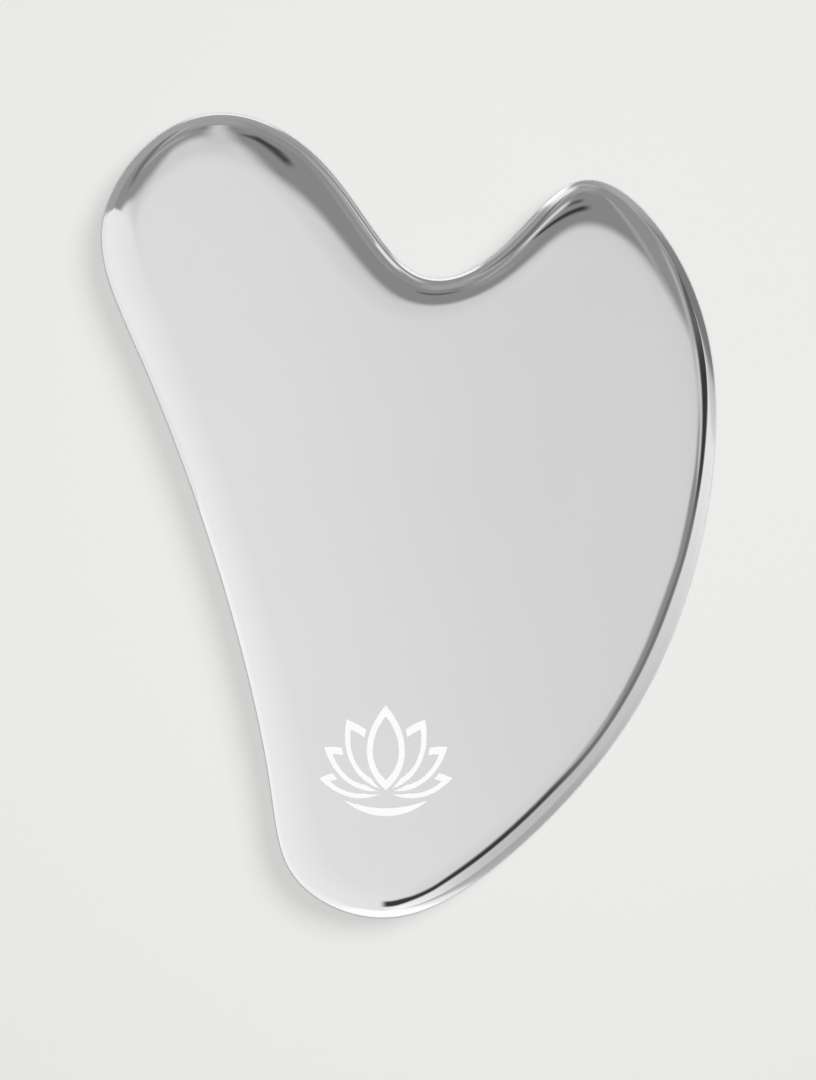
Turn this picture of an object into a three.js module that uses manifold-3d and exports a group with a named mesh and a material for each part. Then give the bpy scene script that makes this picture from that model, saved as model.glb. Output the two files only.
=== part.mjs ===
// Facial gua sha scraper: a flat, heart-shaped plate of mirror-polished steel with pillow-rounded edges,
// and a small lotus printed in white ink on its front face, near the toe.
// Millimetres, +Z up. The back face lies on z = 0, and the origin is below the middle of the outline.
// +Y points to the crown, the larger lobe, and +X to the long bowed edge.

import * as THREE from 'three';
import { mergeVertices } from 'three/addons/utils/BufferGeometryUtils.js';
import Module from 'manifold-3d';

// ---- Plate ----

const THICKNESS = 6;
const LAND_POWER = 3; // the rounded edge follows reach^LAND_POWER + rise^RIM_POWER = 1,
const RIM_POWER = 2; // where reach is 0 on a flat face's edge and 1 on the rim, and rise the other way round
const SHOULDER_STEPS = 8; // facets from a flat face to the rim
const STEP_SPREAD = 1.5; // above 1 makes the facets beside the flat faces narrower
const SEGMENTS_PER_SPAN = 9; // facets between two neighbouring control points

// Both outlines are closed uniform cubic B-splines, drawn by [x, y] control points that run anticlockwise.
// The rim is the widest outline, at half the thickness.
const RIM_CONTROL = [
  [-8, 39], // crown, notch side
  [-23, 45.5], // crown, top
  [-35.5, 31], // crown, outer side
  [-28.5, 18], // hollow under the crown
  [-19.5, -6], // long hollow flank, middle
  [-14, -29], // long hollow flank, lower end
  [-14, -39], // toe, flank side
  [-3, -44.5], // toe, bottom
  [8, -39.5], // bowed edge, beside the toe
  [24.5, -23], // bowed edge, lower part
  [32, -3], // bowed edge, middle
  [33.5, 18], // bowed edge, upper part
  [26.5, 32], // small lobe, outer side
  [17.5, 38], // small lobe, top
  [10, 26.5], // notch, small lobe's side
  [-0.5, 22.5], // notch, crown's side
];
// The land is the edge of each flat face. Between the two outlines the plate rounds over.
const LAND_CONTROL = [
  [-13.5, 34.5],
  [-22, 38],
  [-30, 31],
  [-24, 18.5],
  [-15.5, -5.5],
  [-9.5, -28],
  [-9, -36],
  [-4, -40.5],
  [6, -36.5],
  [21, -21],
  [28.5, -3],
  [28.5, 17],
  [22.5, 27],
  [17, 28],
  [12.5, 21.5],
  [-4, 17],
];

// ---- Printed lotus ----

const INK_THICKNESS = 0.06;
const INK_GAP = 0.4; // clear steel between a petal and the one in front of it
const STROKE = 0.62; // mean width of a petal's line
const STROKE_LEAN = 0.12; // each side petal's line is this much heavier on its outer flank
const CURVE_STEPS = 24; // facets along each side of a petal and each arc
const MARK_CENTRE = [-2.4, -25.6];
const FLOWER_BASE = -3.3; // height of the point where all petals meet, above the mark's centre

// Petals from the front one to the hindmost pair. Tilt is in degrees from upright.
const PETALS = [
  { name: 'centre', tilt: 0, length: 8.9, halfWidth: 2.0 },
  { name: 'inner', tilt: 29, length: 8.5, halfWidth: 1.85 },
  { name: 'middle', tilt: 55, length: 7.9, halfWidth: 1.65 },
  { name: 'outer', tilt: 80, length: 7.1, halfWidth: 1.4 },
];

const CRESCENT_RADIUS = 6.6; // lower arc
const CRESCENT_HALF_ANGLE = 42; // degrees either side of straight down
const CRESCENT_DEPTH = 0.85; // thickness at its middle
const CRESCENT_BOTTOM = -6.05; // height of its lowest point, above the mark's centre

// ---- Materials ----

const polishedSteel = new THREE.MeshStandardMaterial({ color: 0xd8d8d6, roughness: 0.08, metalness: 1 });
const whiteInk = new THREE.MeshStandardMaterial({ color: 0xf8f8f6, roughness: 0.55, metalness: 0 });

// ---- Solids by manifold-3d ----

const wasm = await Module();
wasm.setup();

/** A closed three.js geometry as a solid that can be cut. */
function toSolid(geometry) {
  const bare = geometry.clone();
  bare.deleteAttribute('normal');
  bare.deleteAttribute('uv');
  const merged = mergeVertices(bare);
  const vertProperties = new Float32Array(merged.attributes.position.array);
  const triVerts = new Uint32Array(merged.index.array);
  return new wasm.Manifold(new wasm.Mesh({ numProp: 3, vertProperties, triVerts }));
}

/** A solid as three.js geometry. */
function toGeometry(solid) {
  const { vertProperties, triVerts } = solid.getMesh();
  const geometry = new THREE.BufferGeometry();
  geometry.setAttribute('position', new THREE.Float32BufferAttribute(vertProperties, 3));
  geometry.setIndex(Array.from(triVerts));
  geometry.computeVertexNormals();
  return geometry;
}

// ---- Plate ----

/** Closed uniform cubic B-spline through the plane. */
class ClosedSpline extends THREE.Curve {
  constructor(control) {
    super();
    this.control = control;
  }

  getPoint(t) {
    const count = this.control.length;
    const span = Math.floor(t * count);
    const u = t * count - span;
    const weights = [
      (1 - u) ** 3 / 6,
      (3 * u ** 3 - 6 * u ** 2 + 4) / 6,
      (-3 * u ** 3 + 3 * u ** 2 + 3 * u + 1) / 6,
      u ** 3 / 6,
    ];
    const point = new THREE.Vector2();
    weights.forEach((weight, offset) => {
      const [x, y] = this.control[(span + offset - 1 + count) % count];
      point.x += weight * x;
      point.y += weight * y;
    });
    return point;
  }
}

function outlinePoints(control) {
  const points = new ClosedSpline(control).getPoints(control.length * SEGMENTS_PER_SPAN);
  points.pop(); // the last point repeats the first
  return points;
}

/** Rings from the back land, out round the rim and in to the front land, closed by two flat faces. */
function plateGeometry() {
  const rim = outlinePoints(RIM_CONTROL);
  const land = outlinePoints(LAND_CONTROL);
  const middle = new THREE.Box2().setFromPoints(rim).getCenter(new THREE.Vector2());
  const count = rim.length;
  const lastRing = 2 * SHOULDER_STEPS;
  const positions = [];
  const faces = [];

  for (let ring = 0; ring <= lastRing; ring++) {
    const level = ring / SHOULDER_STEPS - 1; // -1 on the back land, 0 on the rim, 1 on the front land
    const turn = (Math.PI / 2) * (1 - Math.abs(level)) ** STEP_SPREAD;
    const reach = Math.sin(turn) ** (2 / LAND_POWER);
    const rise = Math.sign(level) * Math.cos(turn) ** (2 / RIM_POWER);
    for (let i = 0; i < count; i++) {
      const point = land[i].clone().lerp(rim[i], reach).sub(middle);
      positions.push(point.x, point.y, (THICKNESS / 2) * (1 + rise));
    }
  }

  for (let ring = 0; ring < lastRing; ring++) {
    for (let i = 0; i < count; i++) {
      const next = (i + 1) % count;
      const lower = ring * count;
      const upper = lower + count;
      faces.push([lower + i, lower + next, upper + next]);
      faces.push([lower + i, upper + next, upper + i]);
    }
  }
  for (const [a, b, c] of THREE.ShapeUtils.triangulateShape(land, [])) {
    const front = lastRing * count;
    faces.push([a, c, b]);
    faces.push([front + a, front + b, front + c]);
  }

  const geometry = new THREE.BufferGeometry();
  geometry.setAttribute('position', new THREE.Float32BufferAttribute(positions, 3));
  geometry.setIndex(faces.flat());
  geometry.computeVertexNormals();
  return geometry;
}

function scraperBody() {
  const mesh = new THREE.Mesh(plateGeometry(), polishedSteel);
  mesh.name = 'scraper_body';
  return mesh;
}

// ---- Printed lotus ----

/** Pointed leaf with its root at [x, y] and its tip straight above. */
function leaf(x, y, length, halfWidth) {
  const bulge = halfWidth / 0.75; // a cubic curve reaches three quarters of the way to its handles
  const low = y + 0.24 * length;
  const high = y + 0.66 * length;
  const path = new THREE.Shape();
  path.moveTo(x, y);
  path.bezierCurveTo(x + bulge, low, x + bulge, high, x, y + length);
  path.bezierCurveTo(x - bulge, high, x - bulge, low, x, y);
  return path;
}

/** Shape pushed up from z = bottom to z = top, turned about the flower's base and put in place. */
function raised(shape, bottom, top, tilt) {
  const settings = { depth: top - bottom, bevelEnabled: false, curveSegments: CURVE_STEPS };
  return new THREE.ExtrudeGeometry(shape, settings)
    .translate(0, 0, bottom)
    .rotateZ(THREE.MathUtils.degToRad(tilt))
    .translate(0, FLOWER_BASE, 0);
}

/** A petal's line: the leaf with a smaller leaf cut from its middle. */
function petalLine({ length, halfWidth }, tilt) {
  const shape = leaf(0, 0, length, halfWidth);
  const inset = 1.7 * STROKE; // the line is longer than it is wide where the two flanks meet
  const lean = -Math.sign(tilt) * STROKE_LEAN;
  shape.holes.push(leaf(lean, inset, length - 2.1 * inset, halfWidth - STROKE));
  return toSolid(raised(shape, 0, INK_THICKNESS, tilt));
}

/** What a petal hides of the petals behind it: its leaf, grown by the gap and taller than the ink. */
function petalMask({ length, halfWidth }, tilt) {
  const shape = leaf(0, -INK_GAP, length + 3 * INK_GAP, halfWidth + INK_GAP);
  return toSolid(raised(shape, -1, 1, tilt));
}

function printedPiece(name, solid) {
  const mesh = new THREE.Mesh(toGeometry(solid), whiteInk);
  mesh.name = name;
  return mesh;
}

/** The centre petal and, on each side, the rest of the fan, each cut back by the petals in front of it. */
function petals() {
  const [centre, ...sidePetals] = PETALS;
  const pieces = [printedPiece('print_petal_centre', petalLine(centre, 0))];
  for (const [side, sign] of [['left', 1], ['right', -1]]) {
    let inFront = petalMask(centre, 0);
    for (const petal of sidePetals) {
      const tilt = sign * petal.tilt;
      pieces.push(printedPiece(`print_petal_${petal.name}_${side}`, petalLine(petal, tilt).subtract(inFront)));
      inFront = inFront.add(petalMask(petal, tilt));
    }
  }
  return pieces;
}

/** The water line under the flower: a lower and a flatter upper arc that meet in two points. */
function crescent() {
  const halfAngle = THREE.MathUtils.degToRad(CRESCENT_HALF_ANGLE);
  const halfSpan = CRESCENT_RADIUS * Math.sin(halfAngle);
  const sag = CRESCENT_RADIUS * (1 - Math.cos(halfAngle)) - CRESCENT_DEPTH;
  const upperRadius = (halfSpan ** 2 + sag ** 2) / (2 * sag);
  const upperHalfAngle = Math.asin(halfSpan / upperRadius);
  const down = -Math.PI / 2;
  const lowest = CRESCENT_BOTTOM - FLOWER_BASE;
  const shape = new THREE.Shape();
  shape.absarc(0, lowest + CRESCENT_RADIUS, CRESCENT_RADIUS, down - halfAngle, down + halfAngle, false);
  shape.absarc(
    0,
    lowest + CRESCENT_DEPTH + upperRadius,
    upperRadius,
    down + upperHalfAngle,
    down - upperHalfAngle,
    true,
  );
  return printedPiece('print_crescent', toSolid(raised(shape, 0, INK_THICKNESS, 0)));
}

function printedLotus() {
  const mark = new THREE.Group();
  mark.add(...petals(), crescent());
  mark.position.set(...MARK_CENTRE, THICKNESS);
  return mark;
}

const scraper = new THREE.Group();
scraper.add(scraperBody(), printedLotus());

export default scraper;
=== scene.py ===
"""Looks of the gua sha scraper: a mirror-polished heart-shaped plate with a white lotus printed on it.

Metres, +Z up. The plate lies on its back face at z = 0, +Y points to the crown, the larger lobe.
"""

import math

import bpy
import numpy as np
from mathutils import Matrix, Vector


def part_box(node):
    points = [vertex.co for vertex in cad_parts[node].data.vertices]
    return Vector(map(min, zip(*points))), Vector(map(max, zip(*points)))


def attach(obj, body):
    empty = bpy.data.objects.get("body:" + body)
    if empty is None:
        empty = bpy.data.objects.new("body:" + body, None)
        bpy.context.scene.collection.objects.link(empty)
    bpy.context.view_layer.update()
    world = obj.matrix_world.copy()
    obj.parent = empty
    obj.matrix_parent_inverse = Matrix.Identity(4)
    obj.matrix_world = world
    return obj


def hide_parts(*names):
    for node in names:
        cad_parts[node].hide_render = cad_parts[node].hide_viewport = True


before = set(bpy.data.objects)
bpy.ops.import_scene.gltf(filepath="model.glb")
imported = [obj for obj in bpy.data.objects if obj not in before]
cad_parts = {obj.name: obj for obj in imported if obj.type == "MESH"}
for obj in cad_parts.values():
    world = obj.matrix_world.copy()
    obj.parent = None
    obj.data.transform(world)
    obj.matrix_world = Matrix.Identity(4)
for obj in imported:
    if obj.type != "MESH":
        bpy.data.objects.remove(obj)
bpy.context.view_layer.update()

MM = 0.001

# ---- Plate ----

# The plate's two closed B-spline outlines, in millimetres, anticlockwise from the crown's notch side.
# The rim is the widest outline, at half the thickness. The land is the edge of each flat face.
RIM_CONTROL = [
    (-8, 39), (-23, 45.5), (-35.5, 31), (-28.5, 18),
    (-19.5, -6), (-14, -29), (-14, -39), (-3, -44.5),
    (8, -39.5), (24.5, -23), (32, -3), (33.5, 18),
    (26.5, 32), (17.5, 38), (10, 26.5), (-0.5, 22.5),
]
LAND_CONTROL = [
    (-13.5, 34.5), (-22, 38), (-30, 31), (-24, 18.5),
    (-15.5, -5.5), (-9.5, -28), (-9, -36), (-4, -40.5),
    (6, -36.5), (21, -21), (28.5, -3), (28.5, 17),
    (22.5, 27), (17, 28), (12.5, 21.5), (-4, 17),
]
# The rounded edge follows reach^LAND_POWER + rise^RIM_POWER = 1, so that it leaves the flat face gently.
LAND_POWER = 3
RIM_POWER = 2
SHOULDER_STEPS = 26  # rings from a flat face to the rim
STEP_SPREAD = 1.5  # spreads the rings evenly beside the lands
SEGMENTS_PER_SPAN = 45  # segments between two neighbouring control points

# ---- Camera ----

CAMERA_X = -0.07 * MM
CAMERA_Y = -2.61 * MM
FOCUS_HEIGHT = 3 * MM  # the rim's height, where the frame is VIEW_HEIGHT tall
VIEW_HEIGHT = 114.4 * MM
LENS = 135  # millimetres
SENSOR = 36  # millimetres, along the frame's long side


# ---- Node helpers ----


def link(tree, value, socket):
    """Sets a socket from another socket, a number or a colour."""
    if isinstance(value, bpy.types.NodeSocket):
        tree.links.new(value, socket)
    else:
        socket.default_value = value


def math_node(tree, operation, first, second=0.0):
    node = tree.nodes.new("ShaderNodeMath")
    node.operation = operation
    link(tree, first, node.inputs[0])
    link(tree, second, node.inputs[1])
    return node.outputs[0]


def multiply(tree, *factors):
    """Product of sockets and numbers."""
    product = factors[0]
    for factor in factors[1:]:
        product = math_node(tree, "MULTIPLY", product, factor)
    return product


def ramp(tree, value, start, end, low=0.0, high=1.0, smooth=True):
    """Goes from low to high while value goes from start to end."""
    node = tree.nodes.new("ShaderNodeMapRange")
    node.interpolation_type = "SMOOTHSTEP" if smooth else "LINEAR"
    for number, item in enumerate((value, start, end, low, high)):
        link(tree, item, node.inputs[number])
    return node.outputs[0]


def blend(tree, factor, first, second):
    """first where factor is 0, second where it is 1."""
    node = tree.nodes.new("ShaderNodeMix")
    link(tree, factor, node.inputs["Factor"])
    link(tree, first, node.inputs["A"])
    link(tree, second, node.inputs["B"])
    return node.outputs["Result"]


def noise(tree, vector, scale, detail):
    node = tree.nodes.new("ShaderNodeTexNoise")
    link(tree, vector, node.inputs["Vector"])
    node.inputs["Scale"].default_value = scale
    node.inputs["Detail"].default_value = detail
    return node.outputs["Fac"]


def along(tree, vector, direction):
    """How far a vector reaches along a fixed direction."""
    node = tree.nodes.new("ShaderNodeVectorMath")
    node.operation = "DOT_PRODUCT"
    link(tree, vector, node.inputs[0])
    node.inputs[1].default_value = direction
    return node.outputs["Value"]


def heading(degrees):
    """Level unit vector, anticlockwise from +X."""
    return (math.cos(math.radians(degrees)), math.sin(math.radians(degrees)), 0.0)


# ---- Plate mesh ----


def outline(control):
    """Points on the closed uniform cubic B-spline, in metres."""
    points = np.array(control, float) * MM
    count = len(points)
    t = np.arange(count * SEGMENTS_PER_SPAN) / SEGMENTS_PER_SPAN
    span = np.floor(t).astype(int)
    u = (t - span)[:, None]
    weights = ((1 - u) ** 3, 3 * u**3 - 6 * u**2 + 4, -3 * u**3 + 3 * u**2 + 3 * u + 1, u**3)
    return sum(w * points[(span + k - 1) % count] for k, w in enumerate(weights)) / 6


def around(curve):
    """Direction of a closed curve at each of its points."""
    return np.roll(curve, -1, axis=0) - np.roll(curve, 1, axis=0)


def plate():
    """The plate as a fine loft from the back land, out round the rim and in to the front land."""
    low, high = (np.array(corner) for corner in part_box("scraper_body"))
    rim = outline(RIM_CONTROL)
    land = outline(LAND_CONTROL)
    middle = (rim.min(axis=0) + rim.max(axis=0)) / 2
    stretch = (high - low)[:2] / (rim.max(axis=0) - rim.min(axis=0))
    place = (low + high)[:2] / 2
    rim = (rim - middle) * stretch + place
    land = (land - middle) * stretch + place
    half = (high[2] - low[2]) / 2

    # From the back land (-1) by the rim (0) to the front land (1).
    step = np.linspace(-1, 1, 2 * SHOULDER_STEPS + 1)
    turn = math.pi / 2 * (1 - np.abs(step)) ** STEP_SPREAD
    reach = np.sin(turn) ** (2 / LAND_POWER)  # 0 on the land, 1 on the rim
    rise = np.cos(turn).clip(0) ** (2 / RIM_POWER) * np.sign(step)
    rings, count = len(step), len(rim)

    points = np.zeros((rings, count, 3))
    points[..., :2] = land + (rim - land) * reach[:, None, None]
    points[..., 2] = (low[2] + half * (1 + rise))[:, None]

    # The shoulder's own slope follows from reach^LAND_POWER + |rise|^RIM_POWER = 1.
    outward = RIM_POWER * np.abs(rise) ** (RIM_POWER - 1) * -np.sign(rise)
    upward = LAND_POWER * reach ** (LAND_POWER - 1)
    up_the_shoulder = np.zeros((rings, count, 3))
    up_the_shoulder[..., :2] = (rim - land) * outward[:, None, None]
    up_the_shoulder[..., 2] = (half * upward)[:, None]
    round_the_edge = np.zeros((rings, count, 3))
    round_the_edge[..., :2] = around(land) + (around(rim) - around(land)) * reach[:, None, None]
    normals = np.cross(round_the_edge, up_the_shoulder)
    normals /= np.linalg.norm(normals, axis=2, keepdims=True)
    normals[0] = (0, 0, -1)
    normals[-1] = (0, 0, 1)

    faces = []
    for ring in range(rings - 1):
        lower = ring * count
        upper = lower + count
        for i in range(count):
            j = (i + 1) % count
            faces.append((lower + i, lower + j, upper + j, upper + i))
    faces.append(tuple(range(count - 1, -1, -1)))
    faces.append(tuple((rings - 1) * count + i for i in range(count)))

    mesh = bpy.data.meshes.new("plate")
    mesh.from_pydata(points.reshape(-1, 3).tolist(), [], faces)
    mesh.polygons.foreach_set("use_smooth", [True] * len(faces))
    mesh.normals_split_custom_set_from_vertices(normals.reshape(-1, 3).tolist())
    mesh.validate()
    piece = bpy.data.objects.new("plate", mesh)
    bpy.context.scene.collection.objects.link(piece)
    mesh.materials.append(polished_steel())
    piece.visible_diffuse = False  # it throws no bright streaks on the floor
    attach(piece, "root")
    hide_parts("scraper_body")


# ---- Materials ----


def new_material(name):
    material = bpy.data.materials.new(name)
    material.use_nodes = True
    tree = material.node_tree
    return material, tree, tree.nodes["Principled BSDF"]


def object_position(tree):
    return tree.nodes.new("ShaderNodeTexCoord").outputs["Object"]


def bump(tree, height, distance, strength=1.0):
    node = tree.nodes.new("ShaderNodeBump")
    node.inputs["Strength"].default_value = strength
    node.inputs["Distance"].default_value = distance
    link(tree, height, node.inputs["Height"])
    return node.outputs["Normal"]


def polished_steel():
    material, tree, shader = new_material("polished_steel")
    place = object_position(tree)
    shader.inputs["Metallic"].default_value = 1.0
    clouds = noise(tree, place, 90, detail=3)
    tint = tree.nodes.new("ShaderNodeMix")
    tint.data_type = "RGBA"
    link(tree, clouds, tint.inputs["Factor"])
    tint.inputs["A"].default_value = (0.888, 0.888, 0.888, 1)
    tint.inputs["B"].default_value = (0.912, 0.912, 0.912, 1)
    link(tree, tint.outputs["Result"], shader.inputs["Base Color"])
    smudges = ramp(tree, noise(tree, place, 140, detail=4), 0.4, 0.75, 0.025, 0.045)
    # A few hairline wipe marks, long along one direction and fine across it.
    strokes = tree.nodes.new("ShaderNodeCombineXYZ")
    link(tree, multiply(tree, along(tree, place, heading(62)), 25), strokes.inputs["X"])
    link(tree, multiply(tree, along(tree, place, heading(152)), 2500), strokes.inputs["Y"])
    hairlines = ramp(tree, noise(tree, strokes.outputs[0], 1, detail=0), 0.72, 0.8)
    link(tree, blend(tree, hairlines, smudges, 0.12), shader.inputs["Roughness"])
    link(tree, bump(tree, noise(tree, place, 70, detail=1), 0.012 * MM), shader.inputs["Normal"])
    return material


def white_ink():
    material, tree, shader = new_material("white_ink")
    place = object_position(tree)
    speckle = noise(tree, place, 3000, detail=3)
    tint = tree.nodes.new("ShaderNodeMix")
    tint.data_type = "RGBA"
    link(tree, speckle, tint.inputs["Factor"])
    tint.inputs["A"].default_value = (0.90, 0.90, 0.89, 1)
    tint.inputs["B"].default_value = (0.95, 0.95, 0.94, 1)
    link(tree, tint.outputs["Result"], shader.inputs["Base Color"])
    shader.inputs["Roughness"].default_value = 0.55
    link(tree, bump(tree, noise(tree, place, 9000, detail=2), 0.01 * MM, 0.4), shader.inputs["Normal"])
    return material


def printed_lotus():
    """The ink keeps its CAD solids."""
    ink = white_ink()
    for name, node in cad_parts.items():
        if name.startswith("print_"):
            node.data.materials.clear()
            node.data.materials.append(ink)


# ---- Stage ----

FLOOR_SIZE = 6.0
FLOOR_COLOR = (0.803, 0.798, 0.786, 1)
BACKDROP = 0.83  # brightness of the room and of the far floor to the eye
AMBIENT = 0.1  # soft light from all round
FLOOR_DEPTH = 0.02 * MM  # the floor lies this far under the plate
FADE_START = 0.1  # distance from the plate's middle where the floor begins to turn into the backdrop
FADE_END = 0.4
CARD_HEIGHT = 0.01 * MM  # of the bounce card, just above the plate's back face
FAR = 60  # the bounce card ends at the rim's outline scaled up by this much
STEEL_REFLECTS = 0.9  # share of light
WHITE = 255  # greys are given as they show on screen, from 0 to 255
SCREEN_OFFSET = 0.055  # the sRGB curve from screen greys to light
SCREEN_POWER = 2.4


def floor():
    mesh = bpy.data.meshes.new("floor")
    half = FLOOR_SIZE / 2
    corners = [(-half, -half, 0), (half, -half, 0), (half, half, 0), (-half, half, 0)]
    mesh.from_pydata(corners, [], [(0, 1, 2, 3)])
    piece = bpy.data.objects.new("floor", mesh)
    piece.location.z = -FLOOR_DEPTH
    bpy.context.scene.collection.objects.link(piece)
    material, tree, shader = new_material("floor_paper")
    shader.inputs["Roughness"].default_value = 0.9
    shader.inputs["Specular IOR Level"].default_value = 0.1
    shader.inputs["Base Color"].default_value = FLOOR_COLOR
    # Away from the plate the paper fades into an even glow, as a lit backdrop would.
    distance = tree.nodes.new("ShaderNodeVectorMath")
    distance.operation = "LENGTH"
    link(tree, object_position(tree), distance.inputs[0])
    far = ramp(tree, distance.outputs["Value"], FADE_START, FADE_END)
    surface = mix_shader(tree, far, shader.outputs[0], glow(tree, BACKDROP))
    link(tree, surface, tree.nodes["Material Output"].inputs["Surface"])
    material.cycles.emission_sampling = "NONE"
    mesh.materials.append(material)


def only_for_metal(piece):
    """Staging that only the polished steel sees."""
    piece.visible_camera = False
    piece.visible_diffuse = False
    piece.visible_shadow = False


def glow(tree, value):
    emission = tree.nodes.new("ShaderNodeEmission")
    emission.inputs["Color"].default_value = (1, 1, 1, 1)
    link(tree, value, emission.inputs["Strength"])
    return emission.outputs[0]


def glowing_material(name):
    material, tree, shader = new_material(name)
    tree.nodes.remove(shader)
    material.cycles.emission_sampling = "NONE"
    return material, tree, tree.nodes["Material Output"].inputs["Surface"]


def add_attribute(mesh, name, values):
    mesh.attributes.new(name, "FLOAT", "POINT").data.foreach_set("value", values)


def read_attribute(tree, name):
    node = tree.nodes.new("ShaderNodeAttribute")
    node.attribute_name = name
    return node.outputs["Fac"]


def glowing_reflection_card():
    """Glowing card on the floor round the plate, seen only by the steel, which paints the steel's
    reflections: white to the west, grey to the north, paler to the south-east.

    Its attribute "gap" is the distance from the rim in millimetres, and "station" counts the rim's spans
    from the crown's notch side.
    """
    rim = outline(RIM_CONTROL)
    outward = around(rim)[:, ::-1] * (1, -1)
    outward /= np.linalg.norm(outward, axis=1, keepdims=True)
    rings = [(-1, (rim + outline(LAND_CONTROL)) / 2)]
    rings += [(gap, rim + outward * gap * MM) for gap in (0, 3, 7)]
    rings += [(FAR, rim * FAR)]
    columns = len(rim) + 1  # the first point is repeated, so that the station runs on to the seam
    vertices = [(x, y, 0.0) for _, ring in rings for x, y in [*ring.tolist(), ring[0].tolist()]]
    faces = []
    for lower in range(0, columns * (len(rings) - 1), columns):
        upper = lower + columns
        faces += [(lower + i, lower + i + 1, upper + i + 1, upper + i) for i in range(len(rim))]
    mesh = bpy.data.meshes.new("glowing_reflection_card")
    mesh.from_pydata(vertices, [], faces)
    add_attribute(mesh, "gap", [gap for gap, _ in rings for _ in range(columns)])
    add_attribute(mesh, "station", [i / SEGMENTS_PER_SPAN for _ in rings for i in range(columns)])
    card = bpy.data.objects.new("glowing_reflection_card", mesh)
    card.location.z = CARD_HEIGHT
    bpy.context.scene.collection.objects.link(card)

    material, tree, surface = glowing_material("glowing_reflection_card")
    place = object_position(tree)
    split = tree.nodes.new("ShaderNodeSeparateXYZ")
    link(tree, place, split.inputs[0])
    x, y, _ = split.outputs
    bearing = math_node(tree, "MULTIPLY", math_node(tree, "ARCTAN2", y, x), 180 / math.pi)

    # Grey glow by bearing round the plate, painted so that the steel's rim reflects these greys.
    south = seen_grey(tree, profile(tree, bearing, [
        (-180, 240), (-104, 238), (-86, 234), (-81, 226), (-77.5, 182), (-72, 170),
        (-64, 166), (-48, 182), (-29, 200), (-10, 216), (8, 226), (180, 226),
    ]))
    far_west = ramp(tree, along(tree, place, heading(197)), 23 * MM, 40 * MM)
    south = blend(tree, far_west, south, seen(233))
    # White patch under the toe, which paints a highlight on the steel's toe.
    toe = multiply(tree, ramp(tree, bearing, -104, -99), ramp(tree, bearing, -83, -85.5),
                   ramp(tree, along(tree, place, heading(-90)), 36 * MM, 40 * MM))
    south = blend(tree, toe, south, seen(252))
    north = seen_grey(tree, profile(tree, bearing, [
        (-180, 150), (0, 226), (14, 205), (22, 180), (28, 120), (44, 130), (56, 165),
        (69, 150), (74, 180), (85, 142), (96, 150), (120, 158), (180, 150),
    ]))
    # White patch beside the small lobe's tip, which paints a highlight on the steel at the lobe's tip.
    lobe = multiply(tree, ramp(tree, along(tree, place, heading(121)), 19 * MM, 21 * MM),
                    ramp(tree, along(tree, place, heading(121)), 42 * MM, 30 * MM),
                    ramp(tree, along(tree, place, heading(31)), 34.5 * MM, 32 * MM),
                    ramp(tree, along(tree, place, heading(31)), 27.5 * MM, 29.5 * MM))
    north = blend(tree, lobe, north, seen(252))
    # White band over the crown's top and at the notch's bottom, which paints a white highlight on the
    # steel's rim there.
    gap = read_attribute(tree, "gap")
    station = read_attribute(tree, "station")
    crown_top_rim_highlight = multiply(tree, ramp(tree, gap, 5, 3.5), ramp(tree, station, 0.3, 0.5),
                         ramp(tree, station, 1.2, 0.95))
    north = blend(tree, crown_top_rim_highlight, north, seen(238))
    notch_bottom_rim_highlight = multiply(tree, ramp(tree, gap, 6, 4.5), ramp(tree, station, 14.1, 14.25),
                            ramp(tree, station, 15.3, 15.1))
    north = blend(tree, notch_bottom_rim_highlight, north, seen(244))
    # Pale streak along the crown's side of the notch, which paints a pale reflection in the steel.
    offset = math_node(tree, "SUBTRACT", along(tree, place, heading(34)), 17.8 * MM)
    across = math_node(tree, "ABSOLUTE", offset)
    streak = multiply(tree, ramp(tree, across, 1.4 * MM, 0.6 * MM),
                      ramp(tree, along(tree, place, heading(124)), 23 * MM, 27 * MM),
                      ramp(tree, along(tree, place, heading(124)), 40 * MM, 35 * MM))
    north = blend(tree, streak, north, seen(200))
    border = multiply(tree, ramp(tree, along(tree, place, heading(70)), 18.3 * MM, 19.6 * MM),
                      ramp(tree, bearing, 9, 14))
    link(tree, glow(tree, blend(tree, border, south, north)), surface)
    mesh.materials.append(material)
    only_for_metal(card)


def floating_card(name, grey, height, start, end, half_width, softness, end_softness, strength=1.0, tilt=0):
    """Glowing grey card, seen only by the steel, which paints a reflection in it. It lies along a level
    centre line from start to end, with soft borders. Millimetres and degrees.
    """
    length = math.dist(start, end)
    half_length = length / 2 + end_softness
    reach = half_width + softness
    mesh = bpy.data.meshes.new(name)
    corners = [(-half_length, -reach), (half_length, -reach), (half_length, reach), (-half_length, reach)]
    mesh.from_pydata([(x * MM, y * MM, 0) for x, y in corners], [], [(0, 1, 2, 3)])
    card = bpy.data.objects.new(name, mesh)
    card.location = ((start[0] + end[0]) / 2 * MM, (start[1] + end[1]) / 2 * MM, height * MM)
    card.rotation_euler = (math.radians(tilt), 0, math.atan2(end[1] - start[1], end[0] - start[0]))
    bpy.context.scene.collection.objects.link(card)

    material, tree, surface = glowing_material(name)
    split = tree.nodes.new("ShaderNodeSeparateXYZ")
    link(tree, object_position(tree), split.inputs[0])
    x, y, _ = (math_node(tree, "ABSOLUTE", output) for output in split.outputs)
    cover = multiply(tree, ramp(tree, y, reach * MM, (half_width - softness) * MM),
                     ramp(tree, x, half_length * MM, (length / 2 - end_softness) * MM), strength)
    clear = tree.nodes.new("ShaderNodeBsdfTransparent").outputs[0]
    link(tree, mix_shader(tree, cover, clear, glow(tree, seen(grey))), surface)
    mesh.materials.append(material)
    only_for_metal(card)


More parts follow.
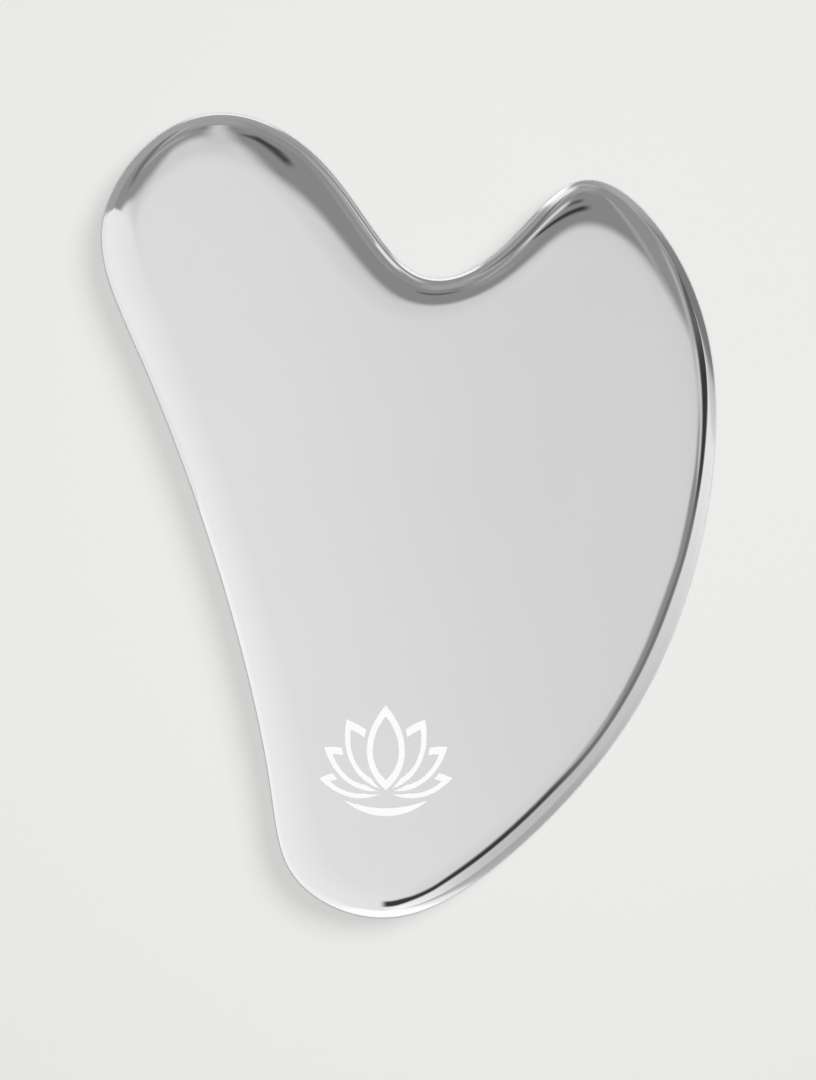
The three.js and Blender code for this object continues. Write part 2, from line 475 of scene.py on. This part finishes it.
def panel(name, direction, distance, width, watts):
    """Soft area light that faces the object from a direction given as (heading, elevation) in degrees.

    It lights the floor and the ink. Neither the eye nor the polished steel sees it.
    """
    azimuth, elevation = (math.radians(angle) for angle in direction)
    data = bpy.data.lights.new(name, "AREA")
    data.shape = "DISK"
    data.size = width
    data.energy = watts
    lamp = bpy.data.objects.new(name, data)
    level = math.cos(elevation)
    lamp.location = (
        distance * level * math.cos(azimuth),
        distance * level * math.sin(azimuth),
        distance * math.sin(elevation),
    )
    lamp.rotation_euler = (math.pi / 2 - elevation, 0, azimuth + math.pi / 2)
    lamp.visible_camera = False
    lamp.visible_glossy = False
    bpy.context.scene.collection.objects.link(lamp)


def seen(grey):
    """Brightness that the surroundings need so that the steel shows a grey, from 0 to 255."""
    share = grey / WHITE
    return ((share + SCREEN_OFFSET) / (1 + SCREEN_OFFSET)) ** SCREEN_POWER / STEEL_REFLECTS


def seen_grey(tree, grey):
    """The same for a grey from a socket."""
    lifted = math_node(tree, "ADD", grey, SCREEN_OFFSET * WHITE)
    share = math_node(tree, "DIVIDE", lifted, (1 + SCREEN_OFFSET) * WHITE)
    return math_node(tree, "DIVIDE", math_node(tree, "POWER", share, SCREEN_POWER), STEEL_REFLECTS)


def profile(tree, value, points):
    """Smooth curve through (value, result) points in order of value."""
    low, high = points[0][0], points[-1][0]
    bottom = min(y for _, y in points)
    top = max(y for _, y in points)
    height = max(top - bottom, 1e-6)
    node = tree.nodes.new("ShaderNodeFloatCurve")
    link(tree, ramp(tree, value, low, high, smooth=False), node.inputs["Value"])
    curve = node.mapping.curves[0]
    while len(curve.points) < len(points):
        curve.points.new(0.5, 0.5)
    for point, (x, y) in zip(curve.points, points):
        point.location = ((x - low) / (high - low), (y - bottom) / height)
        point.handle_type = "AUTO_CLAMPED"
    node.mapping.update()
    return ramp(tree, node.outputs["Value"], 0, 1, bottom, top, smooth=False)


class Surroundings:
    """Brightness of the room round the plate, built up in layers over azimuth and elevation in degrees."""

    def __init__(self, tree, direction):
        self.tree = tree
        split = tree.nodes.new("ShaderNodeSeparateXYZ")
        link(tree, direction, split.inputs[0])
        x, y, z = split.outputs
        self.elevation = math_node(tree, "MULTIPLY", math_node(tree, "ARCSINE", z), 180 / math.pi)
        self.azimuth = math_node(tree, "MULTIPLY", math_node(tree, "ARCTAN2", y, x), 180 / math.pi)
        # Overhead panel: darker to the east, lighter to the west.
        west = along(tree, direction, heading(195))
        self.value = seen_grey(tree, profile(tree, west, [
            (-1, 196), (-0.35, 206), (-0.06, 209), (0.05, 221), (0.3, 225.5), (0.6, 228.5), (1, 232.5),
        ]))

    def cover(self, mask, grey, start, end):
        """Lays a grey over the mask, fading in and out over two stretches of azimuth."""
        fade_in = ramp(self.tree, self.azimuth, *start)
        fade_out = ramp(self.tree, self.azimuth, *end)
        mask = multiply(self.tree, mask, fade_in, fade_out)
        self.value = blend(self.tree, mask, self.value, grey)

    def card(self, grey, edge, softness, start, end):
        """Everything below an upper edge, given as (azimuth, elevation) points."""
        depth = math_node(self.tree, "SUBTRACT", profile(self.tree, self.azimuth, edge), self.elevation)
        self.cover(ramp(self.tree, depth, -softness, softness), grey, start, end)

    def line(self, grey, course, softness, start, end):
        """A band along (azimuth, elevation, half width, strength) points."""
        middle, width, strength = (profile(self.tree, self.azimuth, [(stop[0], stop[k]) for stop in course])
                                   for k in (1, 2, 3))
        away = math_node(self.tree, "ABSOLUTE", math_node(self.tree, "SUBTRACT", self.elevation, middle))
        past = math_node(self.tree, "SUBTRACT", away, width)
        mask = multiply(self.tree, ramp(self.tree, past, softness, -softness), strength)
        self.cover(mask, grey, start, end)


def studio():
    """A plain pale room to the eye, and light panels and cards to the polished steel."""
    world = bpy.data.worlds.new("studio")
    world.use_nodes = True
    bpy.context.scene.world = world
    tree = world.node_tree
    tree.nodes.clear()
    room = Surroundings(tree, tree.nodes.new("ShaderNodeTexCoord").outputs["Generated"])

    # Dimmer panel in the north, and below it a grey card.
    room.card(seen(203), [(-180, 80), (180, 80)], 8, (10, 50), (163, 150))
    room.card(seen(140), [
        (-180, 0), (0, 15), (18, 50), (32, 63), (47, 68), (65, 68), (80, 65), (97, 60), (113, 51),
        (127, 60), (139, 67), (153, 49), (162, 38), (180, 34),
    ], 10, (4, 26), (160.5, 158.5))
    # Dark line above the notch, and a dark streak that rises from the horizon in the north-west.
    room.line(seen(96), [
        (-180, 44, 3, 0), (64, 44, 4, 0.3), (81, 40, 5, 0.95), (97, 33, 5, 0.9), (111, 29, 3, 0.2),
        (180, 20, 3, 0),
    ], 7, (56, 70), (114, 98))
    room.line(seen(110), [
        (-180, 0, 8, 1), (113, 0, 5, 0.3), (120, 2, 6, 1), (127, 9, 7, 1), (139, 23, 8, 1),
        (150, 30, 6, 0.2), (180, 30, 6, 0),
    ], 6, (110, 120), (156, 140))
    # Light lines beside the notch and beside the small lobe.
    room.line(seen(190), [
        (-180, 2, 3, 1), (108, 4, 4, 0.9), (117, 10, 4, 0.7), (126, 16, 4, 0.35), (136, 22, 4, 0),
        (180, 30, 3, 0),
    ], 6, (100, 112), (138, 126))
    room.line(seen(190), [(-180, 34, 3, 0.5), (180, 34, 3, 0.5)], 5, (108, 118), (142, 132))
    room.line(seen(176), [
        (-180, 47, 5, 1), (7, 47, 5, 1), (18, 38, 5, 1), (30, 25, 5, 1), (36, 16, 4, 0.5),
        (42, 5, 4, 0.1), (60, -12, 3, 0), (180, -12, 3, 0),
    ], 6, (4, 16), (56, 46))
    # Paler low down in the north, and a light line on the horizon in the north-east.
    room.line(seen(156), [(-180, 9, 12, 1), (180, 9, 12, 1)], 6, (72, 86), (118, 106))
    room.line(seen(174), [(-180, 0, 4, 1), (180, 0, 4, 1)], 5, (29, 35), (56, 48))
    # In the south-east, white from the horizon up, then a black line, then grey.
    pale = seen_grey(tree, profile(tree, room.azimuth, [
        (-180, 232), (-92, 240), (-84, 248), (-76, 240), (-68, 230), (-56, 198), (-46, 187),
        (-36, 193), (-24, 204), (-12, 217), (0, 228), (180, 228),
    ]))
    room.card(pale, [
        (-180, 0), (-100, 12), (-68, 36), (-56, 46), (-46, 46), (-36, 38), (-24, 40), (-12, 29),
        (0, 12), (8, 0), (180, 0),
    ], 8, (-92, -80), (10, 0))
    room.line(seen(137), [
        (-180, 60, 5, 0), (-60, 64, 5, 0.3), (-46, 62, 7, 0.5), (-36, 57, 9, 0.75), (-24, 60, 10, 1),
        (-12, 52, 12, 1), (-2, 49, 5, 1), (8, 46, 4, 0.3), (180, 40, 4, 0),
    ], 6, (-64, -40), (20, 0))
    room.line(seen(56), [
        (-180, 38, 14, 1), (-88, 38, 14, 1), (-78, 43, 12, 1), (-68, 49, 9, 1), (-56, 58, 9, 1),
        (-46, 56, 9, 0.95), (-36, 44, 8.5, 0.75), (-24, 45, 8, 0.75), (-12, 35, 9, 0.75),
        (-2, 25, 11, 1), (7, 17, 16, 1), (18, 9, 19, 0.75), (32, -17, 11, 0.65),
        (48, -40, 8, 0.3), (180, -40, 10, 0),
    ], 5, (-92, -87), (56, 40))

    in_metal, to_eye, ambient = (background(tree, strength) for strength in (room.value, BACKDROP, AMBIENT))
    path = tree.nodes.new("ShaderNodeLightPath")
    lit = mix_shader(tree, path.outputs["Is Glossy Ray"], ambient, in_metal)
    shown = mix_shader(tree, path.outputs["Is Camera Ray"], lit, to_eye)
    link(tree, shown, tree.nodes.new("ShaderNodeOutputWorld").inputs["Surface"])


def background(tree, strength):
    node = tree.nodes.new("ShaderNodeBackground")
    node.inputs["Color"].default_value = (1, 1, 1, 1)
    link(tree, strength, node.inputs["Strength"])
    return node.outputs[0]


def mix_shader(tree, factor, first, second):
    node = tree.nodes.new("ShaderNodeMixShader")
    link(tree, factor, node.inputs[0])
    link(tree, first, node.inputs[1])
    link(tree, second, node.inputs[2])
    return node.outputs[0]


def camera():
    data = bpy.data.cameras.new("camera")
    data.lens = LENS
    data.sensor_width = SENSOR
    eye = bpy.data.objects.new("camera", data)
    distance = VIEW_HEIGHT * LENS / SENSOR
    eye.location = (CAMERA_X, CAMERA_Y, FOCUS_HEIGHT + distance)
    bpy.context.scene.collection.objects.link(eye)
    bpy.context.scene.camera = eye


camera()
plate()
printed_lotus()
floor()
# Painted reflections: a glowing card on the floor that only the steel sees.
glowing_reflection_card()
# Painted reflections: glowing cards that only the steel sees, for its light and dark streaks and the lobe's
# glint.
floating_card("north_card", 133, 60, (21, 45), (21, 130), 34, 5, 5)
floating_card("light_bar", 157, 36, (40, 33), (43, 85), 2.8, 2, 6, 0.9)
floating_card("light_gap", 195, 12, (-20, 41), (-21, 56), 1.9, 1.8, 2.5)
floating_card("dark_patch", 62, 9, (-15.3, 43.8), (-11.2, 38.9), 0.9, 0.75, 0.9, 0.95)
floating_card("dark_bar", 38, 9, (10.6, 32.6), (19, 34.6), 0.55, 0.5, 1, 0.95)
floating_card("light_strip", 215, 9, (14.4, 37.8), (7.4, 33.6), 1.1, 0.8, 1.5, 0.95)
floating_card("dark_beam", 80, 58, (-9, 91), (14, 84), 6, 5, 5, 0.9)
floating_card("lobe_glint", 235, 3.2, (9.5, 40), (15, 43.6), 2, 1, 2, 0.95, tilt=90)
panel("top_panel", (0, 90), 0.45, 0.06, 1.35)
panel("key_panel", (35, 54), 1.5, 0.8, 8.3)
studio()
bpy.context.scene.view_settings.view_transform = "Standard"
